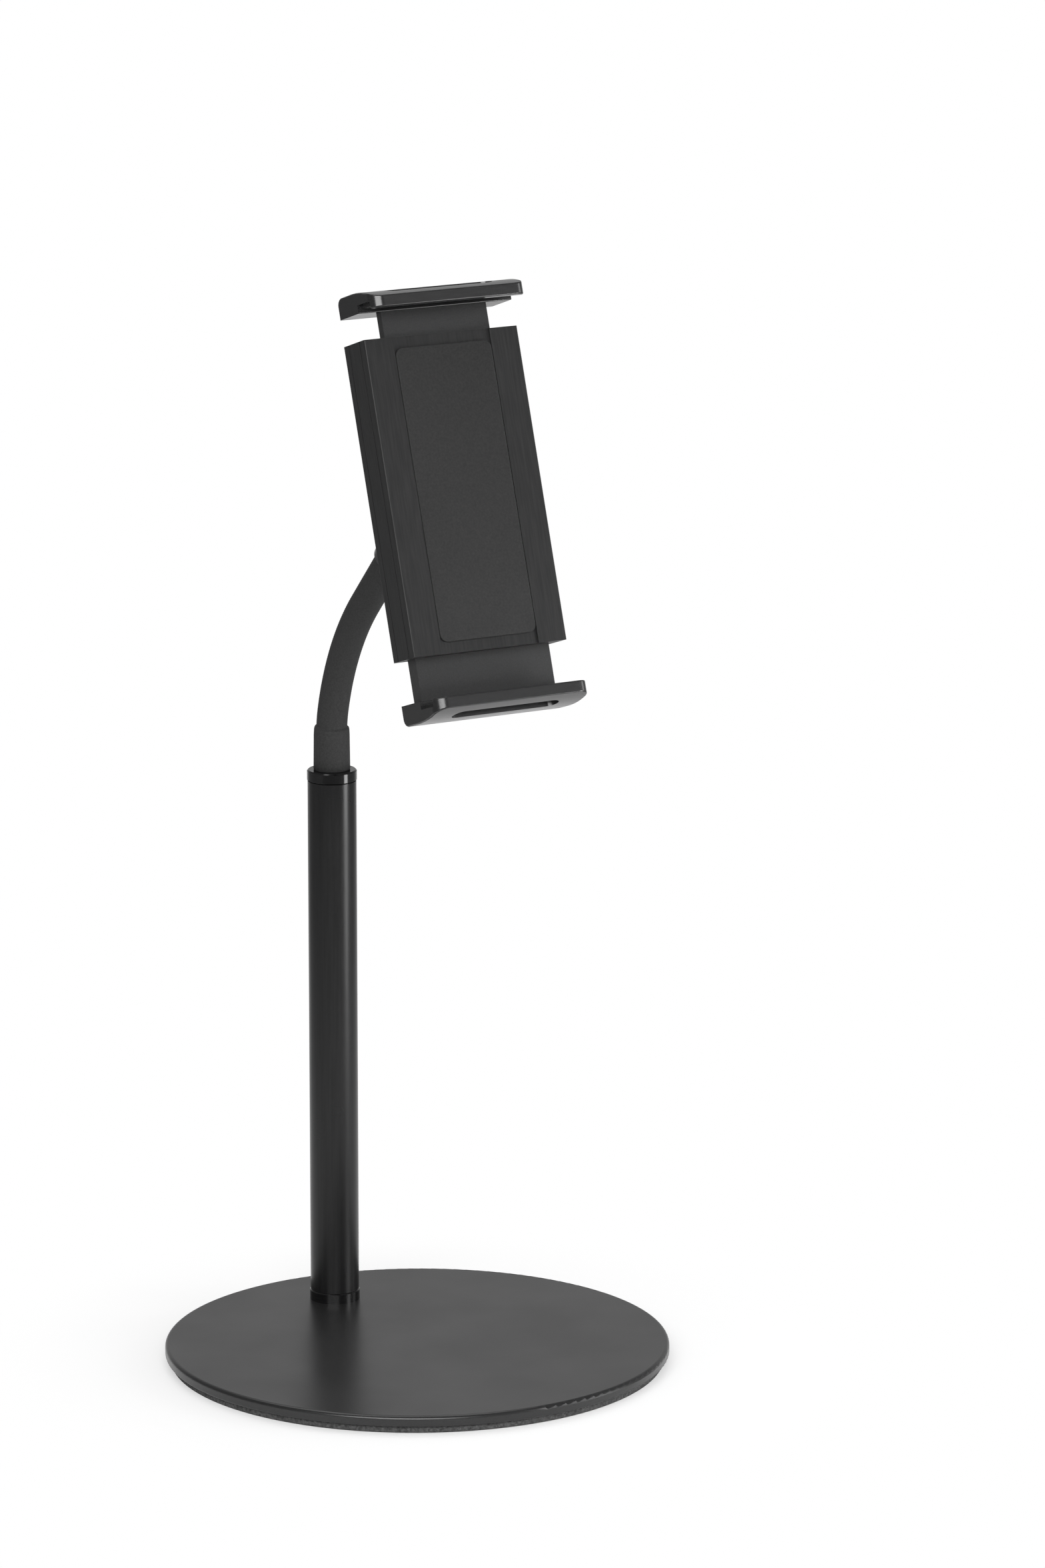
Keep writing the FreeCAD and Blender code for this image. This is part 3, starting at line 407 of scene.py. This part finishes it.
# Small screws: pan-head steel screws with a cross recess, blackened. Four hold the cup's flange on
# the back of the housing, and two hold each jaw on its arm.
BALL = Vector((0, -0.006816, 0.328378))
LEAN = math.radians(18)
CLAMP_FRAME = Matrix.Translation(BALL) @ Matrix.Rotation(-LEAN, 4, "X")
FACING_BACK = Matrix.Rotation(math.radians(-90), 4, "X")
HEAD_RADIUS = 0.0022
HEAD_HEIGHT = 0.0012
SHANK_RADIUS = 0.0012
TIP_HEIGHT = 0.0003
TIP_SHARE = 0.75
RECESS_SIZE = (0.0024, 0.0005, 0.0014)
RECESS_TAPER = 0.45
FLANGE_SHANK = 0.0052
FLANGE_CROWN = 0.0006
FLANGE_CIRCLE_RADIUS = 0.0195
FLANGE_HEAD_Y = -0.0123


def faces_down(spot, normal):
    return normal.z < -0.9


def pan_screw(shank_length, crown):
    """One screw along Z with the top of its head at the origin."""
    start_fresh()
    bpy.ops.mesh.primitive_cylinder_add(
        vertices=28, radius=HEAD_RADIUS, depth=HEAD_HEIGHT, location=(0, 0, -HEAD_HEIGHT / 2)
    )
    freeze()
    screw = bpy.context.active_object
    edit_edges(lambda one, other: min(one.z, other.z) > -HEAD_HEIGHT / 4)
    bpy.ops.mesh.bevel(offset=crown, segments=4, affect="EDGES")
    edit_faces(faces_down)
    bpy.ops.mesh.inset(thickness=HEAD_RADIUS - SHANK_RADIUS)
    for length in (TIP_HEIGHT - shank_length, -TIP_HEIGHT):
        bpy.ops.mesh.extrude_region_move(TRANSFORM_OT_translate={"value": (0, 0, length)})
    bpy.ops.transform.resize(value=(TIP_SHARE, TIP_SHARE, 1), center_override=(0, 0, 0))
    for turn in (0, 90):
        start_fresh()
        bpy.ops.mesh.primitive_cube_add(size=1)
        wing = bpy.context.active_object
        wing.scale = RECESS_SIZE
        wing.rotation_euler = (0, 0, math.radians(turn))
        freeze()
        edit_faces(faces_down)
        bpy.ops.transform.resize(value=(RECESS_TAPER, RECESS_TAPER, 1), center_override=(0, 0, 0))
        bpy.ops.object.mode_set(mode="OBJECT")
        cut_away(screw, wing)
    return screw


def set_screws(name, model, spots):
    """Copies of one screw joined as one piece; each spot is (x, y, z) in the clamp."""
    copies = []
    for spot in spots:
        copy = model.copy()
        copy.data = model.data.copy()
        bpy.context.scene.collection.objects.link(copy)
        copy.matrix_world = CLAMP_FRAME @ Matrix.Translation(spot) @ FACING_BACK
        copies.append(copy)
    bpy.data.objects.remove(model)
    start_fresh()
    for copy in copies:
        copy.select_set(True)
    bpy.context.view_layer.objects.active = copies[0]
    freeze()
    bpy.ops.object.join()
    piece = settle(name, 30)
    piece.data.materials.append(black_steel)
    return piece


flange_offset = FLANGE_CIRCLE_RADIUS * math.sin(math.radians(45))
flange_spots = [
    (x * flange_offset, FLANGE_HEAD_Y, z * flange_offset) for x in (-1, 1) for z in (-1, 1)
]
flange_screws = set_screws("flange_screws", pan_screw(FLANGE_SHANK, FLANGE_CROWN), flange_spots)
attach(flange_screws, "clamp")
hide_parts("socket_screws")


# Clamp housing: an extruded aluminium tube, sawn to length, bead-blasted and anodised matt black.
# Moulded guides are pressed into its ends, and a shallow channel in its front takes the soft pad.
housing_anodised = grained(
    "housing_anodised", (0.011, 0.011, 0.0112), (0.019, 0.019, 0.0193), 1500, (0.44, 0.54), 0.00002,
    stretch=(1, 1, 0.05), lean=LEAN, level=0.3,
)
wear("clamp_housing", housing_anodised)
wear("upper_guide", moulded_black)
wear("lower_guide", moulded_black)


# Front pad: a sheet of soft black silicone with rounded corners, glued in the housing's channel.
# It stands a little proud of the housing, and its front edge is slightly rounded.
PAD_WIDTH = 0.040
PAD_LENGTH = 0.108
PAD_BACK_Y = -0.0317
PAD_THICKNESS = 0.001
PAD_CORNER = 0.003
PAD_EDGE = 0.0003
start_fresh()
bpy.ops.mesh.primitive_cube_add(size=1, location=(0, PAD_BACK_Y - PAD_THICKNESS / 2, 0))
grip_pad = bpy.context.active_object
grip_pad.scale = (PAD_WIDTH, PAD_THICKNESS, PAD_LENGTH)
freeze()
edit_edges(lambda one, other: abs(one.y - other.y) > PAD_THICKNESS / 2)
bpy.ops.mesh.bevel(offset=PAD_CORNER, segments=8, affect="EDGES")
edit_edges(lambda one, other: max(one.y, other.y) < PAD_BACK_Y - PAD_THICKNESS * 0.9)
bpy.ops.mesh.bevel(offset=PAD_EDGE, segments=3, affect="EDGES")
bpy.ops.object.mode_set(mode="OBJECT")
grip_pad.matrix_world = CLAMP_FRAME
settle("grip_pad")
silicone = grained(
    "silicone", (0.012, 0.012, 0.012), (0.019, 0.019, 0.019), 1300, (0.62, 0.74), 0.00004,
    level=0.35,
)
grip_pad.data.materials.append(silicone)
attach(grip_pad, "clamp")
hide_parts("front_pad")


# Arms: flat forked plates of black moulded plastic that slide in the guides and carry the jaws.
# They lie one behind the other in the housing, and their forks run round the springs.
wear("upper_arm", moulded_black)
wear("lower_arm", moulded_black)


# Springs: extension springs of bright wire inside the housing. Each hooks round a rivet at one end
# of the housing, and its headed end sits in the fork of the arm at the other end.
SPRING_WIRE = 0.0003
SPRING_TURNS = 52
STEPS_PER_TURN = 14
HOOK_RADIUS = 0.00205
ANCHOR = 0.045
COIL_START = 0.0025
COIL_END = 0.0531
PLUG_HEIGHT = 0.0006
STEM_RADIUS = 0.00085
HEAD_START = 0.0573
HEAD_LENGTH = 0.002
HEAD_TO_STEM = 2
HEAD_BEVEL = 0.0003
HEAD_TIP_SHARE = 0.82


def wound_spring(name, coil_radius, depth, side, node):
    """A spring along the clamp at this depth; side is 1 for the upper jaw and -1 for the lower."""
    start_fresh()
    bpy.ops.mesh.primitive_circle_add(
        vertices=6, radius=SPRING_WIRE, location=(coil_radius, 0, COIL_START),
        rotation=(math.radians(90), 0, 0),
    )
    freeze()
    spring = bpy.context.active_object
    wind = spring.modifiers.new("wind", "SCREW")
    wind.angle = 2 * math.pi * SPRING_TURNS
    wind.screw_offset = COIL_END - COIL_START
    wind.steps = STEPS_PER_TURN * SPRING_TURNS
    wind.render_steps = STEPS_PER_TURN * SPRING_TURNS
    wind.use_normal_calculate = True
    apply_modifier(spring, wind)
    bpy.ops.mesh.primitive_torus_add(
        major_segments=32, minor_segments=8, major_radius=HOOK_RADIUS, minor_radius=SPRING_WIRE,
        rotation=(math.radians(90), 0, 0),
    )
    hook = bpy.context.active_object
    freeze()
    start_fresh()
    bpy.ops.mesh.primitive_cylinder_add(
        vertices=24, radius=STEM_RADIUS, depth=HEAD_START - COIL_END + PLUG_HEIGHT,
        location=(0, 0, (HEAD_START + COIL_END - PLUG_HEIGHT) / 2),
    )
    freeze()
    edit_faces(lambda spot, normal: normal.z > 0.9)
    bpy.ops.mesh.extrude_region_move()
    bpy.ops.transform.resize(value=(HEAD_TO_STEM, HEAD_TO_STEM, 1), center_override=(0, 0, 0))
    for length in (HEAD_LENGTH - HEAD_BEVEL, HEAD_BEVEL):
        bpy.ops.mesh.extrude_region_move(TRANSFORM_OT_translate={"value": (0, 0, length)})
    bpy.ops.transform.resize(value=(HEAD_TIP_SHARE, HEAD_TIP_SHARE, 1), center_override=(0, 0, 0))
    edit_faces(lambda spot, normal: normal.z < -0.9 and spot.z < COIL_END)
    bpy.ops.mesh.extrude_region_move()
    share = (coil_radius + SPRING_WIRE) / STEM_RADIUS
    bpy.ops.transform.resize(value=(share, share, 1), center_override=(0, 0, 0))
    bpy.ops.mesh.extrude_region_move(TRANSFORM_OT_translate={"value": (0, 0, -PLUG_HEIGHT)})
    bpy.ops.mesh.select_all(action="SELECT")
    bpy.ops.mesh.normals_make_consistent(inside=False)
    head = bpy.context.active_object
    start_fresh()
    for part in (hook, head, spring):
        part.select_set(True)
    bpy.context.view_layer.objects.active = spring
    bpy.ops.object.join()
    turn = Matrix.Rotation(0 if side > 0 else math.pi, 4, "X")
    spring.matrix_world = CLAMP_FRAME @ Matrix.Translation((0, depth, -side * ANCHOR)) @ turn
    settle(name, 40)
    spring.data.materials.append(bright_wire)
    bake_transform(spring)
    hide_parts(node)


bright_wire = grained(
    "bright_wire", (0.46, 0.46, 0.47), (0.58, 0.58, 0.59), 1500, (0.22, 0.3), 0.000005, metal=1.0
)
wound_spring(
    "upper_coil_spring", coil_radius=0.0011, depth=-0.0282, side=1,
    node="upper_spring",
)
wound_spring(
    "lower_coil_spring", coil_radius=0.0018, depth=-0.0229, side=-1,
    node="lower_spring",
)
wear("upper_spring_pin", black_steel)
wear("lower_spring_pin", black_steel)


# Jaws: extruded aluminium sections, sawn, milled with a long slot and anodised satin black. Each is
# held on its arm by two screws from behind, and its lip reaches round the edge of what it holds.
jaw_anodised = grained(
    "jaw_anodised", (0.009, 0.009, 0.0092), (0.015, 0.015, 0.0153), 1500, (0.2, 0.26), 0.000004,
    stretch=(0.08, 1, 1), lean=LEAN, level=0.6,
)
wear("upper_jaw", jaw_anodised)
wear("lower_jaw", jaw_anodised)
JAW_SCREW_X = 0.014
JAW_BACK_Y = -0.0169
JAW_SCREW_CROWN = 0.0003
UPPER_SHANK = 0.0115
LOWER_SHANK = 0.0074
UPPER_SCREW_Z = 0.07035
LOWER_SCREW_Z = -0.07655
for name, shank, height, slider, node in (
    ("upper_jaw_fixings", UPPER_SHANK, UPPER_SCREW_Z, "upper_slider", "upper_jaw_screws"),
    ("lower_jaw_fixings", LOWER_SHANK, LOWER_SCREW_Z, "lower_slider", "lower_jaw_screws"),
):
    spots = [(x, JAW_BACK_Y, height) for x in (-JAW_SCREW_X, JAW_SCREW_X)]
    fixings = set_screws(name, pan_screw(shank, JAW_SCREW_CROWN), spots)
    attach(fixings, slider)
    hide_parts(node)


# Jaw liners: strips of soft black silicone, die-cut with the same long slot and glued in the
# recesses of the jaws, so that nothing is gripped by bare metal.
LINER_HALF_LENGTH = 0.030
LINER_FRONT_Y = -0.0404
LINER_BACK_Y = -0.0315
LINER_THICKNESS = 0.0015
LINER_EDGE = 0.0003
UPPER_FLOOR_Z = 0.0709
LOWER_FLOOR_Z = -0.0771
SLOT_RADIUS = 0.004
SLOT_REACH = 0.0185
SLOT_MIDDLE = 0.0001
FACE_TOLERANCE = 0.00001
slot_y = (LINER_FRONT_Y + LINER_BACK_Y) / 2
for name, floor_z, side, slider, node in (
    ("upper_grip_strip", UPPER_FLOOR_Z, 1, "upper_slider", "upper_liner"),
    ("lower_grip_strip", LOWER_FLOOR_Z, -1, "lower_slider", "lower_liner"),
):
    start_fresh()
    middle_z = floor_z - side * LINER_THICKNESS / 2
    bpy.ops.mesh.primitive_cube_add(size=1, location=(0, slot_y, middle_z))
    strip = bpy.context.active_object
    strip.scale = (2 * LINER_HALF_LENGTH, LINER_BACK_Y - LINER_FRONT_Y, LINER_THICKNESS)
    freeze()
    start_fresh()
    bpy.ops.mesh.primitive_cylinder_add(
        vertices=48, radius=SLOT_RADIUS, depth=3 * LINER_THICKNESS, location=(0, slot_y, middle_z)
    )
    freeze()
    slot_punch = bpy.context.active_object
    bpy.ops.object.mode_set(mode="EDIT")
    bpy.ops.mesh.select_mode(type="VERT")
    for end in (-1, 1):
        bpy.ops.mesh.select_all(action="DESELECT")
        mesh = bmesh.from_edit_mesh(slot_punch.data)
        for vert in mesh.verts:
            vert.select_set(vert.co.x * end > SLOT_MIDDLE)
        bpy.ops.transform.translate(value=(end * SLOT_REACH, 0, 0))
    bpy.ops.object.mode_set(mode="OBJECT")
    cut_away(strip, slot_punch)
    face_z = floor_z - side * LINER_THICKNESS
    edit_edges(
        lambda one, other: max(abs(one.z - face_z), abs(other.z - face_z)) < FACE_TOLERANCE
    )
    bpy.ops.mesh.bevel(offset=LINER_EDGE, segments=3, affect="EDGES")
    bpy.ops.object.mode_set(mode="OBJECT")
    strip.matrix_world = CLAMP_FRAME
    settle(name)
    strip.data.materials.append(silicone)
    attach(strip, slider)
    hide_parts(node)


# Floor and light: a white sweep, whose colour to all but the camera is a painted pool of light,
# in a room that reflects brightly only behind the stand. A short strip stands low on the right, a
# softbox hangs overhead and one stands at the front left, with a weak fill at the front right and a
# small card at the right.
FLOOR_SIZE = 12
FLOOR_FRONT = 0.65
FLOOR_DROP = 0.0002
FLOOR_TURN = math.radians(-30.44)
BACKWARDS = Vector((0.507, 0.862, 0))
SHADE_NEAR = 0.09
SHADE_FAR = 0.17
SHADE_GLOW = 0.5
POOL_NEAR = 0.2
POOL_FAR = 0.8
POOL_LIGHT = 0.85
POOL_DARK = 0.3
PAPER_WHITE = 0.8
BEHIND_NEAR = 0.05
BEHIND_FAR = 0.4
BEHIND_GLOW = 0.65
LANE_EDGE = 0.6
LANE_CORE = 0.92
ROOM_DARK = 0.2
ROOM_LIGHT = 0.55
ROOM_FILL = 0.45
LIGHT_TARGET = Vector((0, 0, 0.2))


def smooth_ramp(nodes, start, end, first=0.0, last=1.0):
    """A smooth change from the first value to the last between start and end."""
    ramp = nodes.new("ShaderNodeMapRange")
    ramp.interpolation_type = "SMOOTHSTEP"
    ramp.inputs["From Min"].default_value = start
    ramp.inputs["From Max"].default_value = end
    ramp.inputs["To Min"].default_value = first
    ramp.inputs["To Max"].default_value = last
    return ramp


def math_node(nodes, operation):
    node = nodes.new("ShaderNodeMath")
    node.operation = operation
    return node


floor_spot = BACKWARDS * (FLOOR_SIZE / 2 - FLOOR_FRONT) - Vector((0, 0, FLOOR_DROP))
start_fresh()
bpy.ops.mesh.primitive_plane_add(
    size=FLOOR_SIZE, location=floor_spot, rotation=(0, 0, FLOOR_TURN)
)
freeze()
floor = bpy.context.active_object
floor.name = "floor"
paper = bpy.data.materials.new("white_sweep")
paper.use_nodes = True
paper_nodes = paper.node_tree.nodes
paper_link = paper.node_tree.links.new
paper_nodes.remove(paper_nodes["Principled BSDF"])
matt = paper_nodes.new("ShaderNodeBsdfDiffuse")
glow = paper_nodes.new("ShaderNodeEmission")
path = paper_nodes.new("ShaderNodeLightPath")
place = paper_nodes.new("ShaderNodeTexCoord")
away = paper_nodes.new("ShaderNodeVectorMath")
away.operation = "LENGTH"
paper_link(place.outputs["Object"], away.inputs[0])
# The sheet is white to the camera; to other rays its colour is a painted pool of light,
# pale near the stand and darker far off
painted_light_pool = smooth_ramp(paper_nodes, POOL_NEAR, POOL_FAR, POOL_LIGHT, POOL_DARK)
paper_link(away.outputs["Value"], painted_light_pool.inputs["Value"])
tone = paper_nodes.new("ShaderNodeMapRange")
tone.inputs["To Max"].default_value = PAPER_WHITE
paper_link(path.outputs["Is Camera Ray"], tone.inputs["Value"])
paper_link(painted_light_pool.outputs["Result"], tone.inputs["To Min"])
paper_link(tone.outputs["Result"], matt.inputs["Color"])
# Its glow to the camera is weaker next to the base, which leaves a soft shade there
fade = smooth_ramp(paper_nodes, SHADE_NEAR, SHADE_FAR, SHADE_GLOW)
paper_link(away.outputs["Value"], fade.inputs["Value"])
# Its glow in reflections is a lane that runs back from the stand
depth = paper_nodes.new("ShaderNodeVectorMath")
depth.operation = "DOT_PRODUCT"
depth.inputs[1].default_value = BACKWARDS
paper_link(place.outputs["Object"], depth.inputs[0])
behind = smooth_ramp(paper_nodes, BEHIND_NEAR, BEHIND_FAR, 0.0, BEHIND_GLOW)
paper_link(depth.outputs["Value"], behind.inputs["Value"])
slant = math_node(paper_nodes, "DIVIDE")
paper_link(depth.outputs["Value"], slant.inputs[0])
paper_link(away.outputs["Value"], slant.inputs[1])
lane = smooth_ramp(paper_nodes, LANE_EDGE, LANE_CORE)
paper_link(slant.outputs["Value"], lane.inputs["Value"])
mirror = math_node(paper_nodes, "MULTIPLY")
paper_link(behind.outputs["Result"], mirror.inputs[0])
paper_link(lane.outputs["Result"], mirror.inputs[1])
mirrored_share = math_node(paper_nodes, "MULTIPLY")
paper_link(path.outputs["Is Glossy Ray"], mirrored_share.inputs[0])
paper_link(mirror.outputs["Value"], mirrored_share.inputs[1])
more = math_node(paper_nodes, "MULTIPLY_ADD")
paper_link(path.outputs["Is Camera Ray"], more.inputs[0])
paper_link(fade.outputs["Result"], more.inputs[1])
paper_link(mirrored_share.outputs["Value"], more.inputs[2])
both = paper_nodes.new("ShaderNodeMixShader")
paper_link(more.outputs["Value"], both.inputs["Fac"])
paper_link(matt.outputs["BSDF"], both.inputs[1])
paper_link(glow.outputs["Emission"], both.inputs[2])
paper_link(both.outputs["Shader"], paper_nodes["Material Output"].inputs["Surface"])
floor.data.materials.append(paper)

world = bpy.data.worlds.new("studio")
world.use_nodes = True
bpy.context.scene.world = world
sky_nodes = world.node_tree.nodes
sky_link = world.node_tree.links.new
backdrop = sky_nodes["Background"]
backdrop.inputs["Color"].default_value = (1, 1, 1, 1)
sky_path = sky_nodes.new("ShaderNodeLightPath")
ray = sky_nodes.new("ShaderNodeTexCoord")
facing = sky_nodes.new("ShaderNodeVectorMath")
facing.operation = "DOT_PRODUCT"
facing.inputs[1].default_value = BACKWARDS
sky_link(ray.outputs["Generated"], facing.inputs[0])
# White to the camera, brighter behind the stand than elsewhere in reflections, and an even fill
room = smooth_ramp(sky_nodes, LANE_EDGE, LANE_CORE, ROOM_DARK, ROOM_LIGHT)
sky_link(facing.outputs["Value"], room.inputs["Value"])
mirrored = math_node(sky_nodes, "MAXIMUM")
sky_link(sky_path.outputs["Is Glossy Ray"], mirrored.inputs[0])
sky_link(sky_path.outputs["Is Transmission Ray"], mirrored.inputs[1])
soft = sky_nodes.new("ShaderNodeMapRange")
soft.inputs["To Min"].default_value = ROOM_FILL
sky_link(mirrored.outputs["Value"], soft.inputs["Value"])
sky_link(room.outputs["Result"], soft.inputs["To Max"])
strength = sky_nodes.new("ShaderNodeMapRange")
sky_link(sky_path.outputs["Is Camera Ray"], strength.inputs["Value"])
sky_link(soft.outputs["Result"], strength.inputs["To Min"])
sky_link(strength.outputs["Result"], backdrop.inputs["Strength"])


def softbox(name, azimuth, height, distance, width, tall, power):
    lamp = bpy.data.lights.new(name, "AREA")
    lamp.shape = "RECTANGLE"
    lamp.size = width
    lamp.size_y = tall
    lamp.energy = power
    box = bpy.data.objects.new(name, lamp)
    bpy.context.scene.collection.objects.link(box)
    around = math.radians(azimuth)
    box.location = (distance * math.sin(around), -distance * math.cos(around), height)
    aim = LIGHT_TARGET - box.location
    box.rotation_euler = aim.to_track_quat("-Z", "Y").to_euler()
    box.visible_camera = False


softbox("right_strip", azimuth=42, height=0.15, distance=0.62, width=0.2, tall=0.3, power=1.8)
softbox("top_softbox", azimuth=170, height=2.2, distance=0.6, width=1.8, tall=1.8, power=18)
softbox(
    "front_left_softbox", azimuth=-38, height=0.95, distance=1.6, width=1.6, tall=0.68, power=29
)
softbox("front_right_fill", azimuth=38, height=1.0, distance=2.0, width=1.6, tall=1.2, power=2.8)
softbox("right_card", azimuth=72, height=0.6, distance=1.5, width=0.5, tall=0.5, power=2.6)


# Camera: a long lens at the photograph's height and angle. Its place and focal length come from a
# fit to corners and outlines in the photograph.
CAMERA_AZIMUTH = math.radians(-30.441)
CAMERA_RISE = math.radians(12.865)
CAMERA_DISTANCE = 2.7406
SIDEWAYS = 0.03962
TARGET_HEIGHT = 0.22177
LENS_PIXELS = 11099.5
IMAGE_HEIGHT = 2352
SENSOR = 36.0
CLIP_END = 100
target = Vector(
    (SIDEWAYS * math.cos(CAMERA_AZIMUTH), SIDEWAYS * math.sin(CAMERA_AZIMUTH), TARGET_HEIGHT)
)
towards = Vector((
    math.sin(CAMERA_AZIMUTH) * math.cos(CAMERA_RISE),
    -math.cos(CAMERA_AZIMUTH) * math.cos(CAMERA_RISE),
    math.sin(CAMERA_RISE),
))
lens = bpy.data.cameras.new("camera")
lens.sensor_width = SENSOR
lens.lens = LENS_PIXELS / IMAGE_HEIGHT * SENSOR
lens.clip_end = CLIP_END
camera = bpy.data.objects.new("camera", lens)
bpy.context.scene.collection.objects.link(camera)
camera.location = target + CAMERA_DISTANCE * towards
camera.rotation_euler = (-towards).to_track_quat("-Z", "Y").to_euler()
bpy.context.scene.camera = camera
bpy.context.scene.view_settings.view_transform = "Standard"
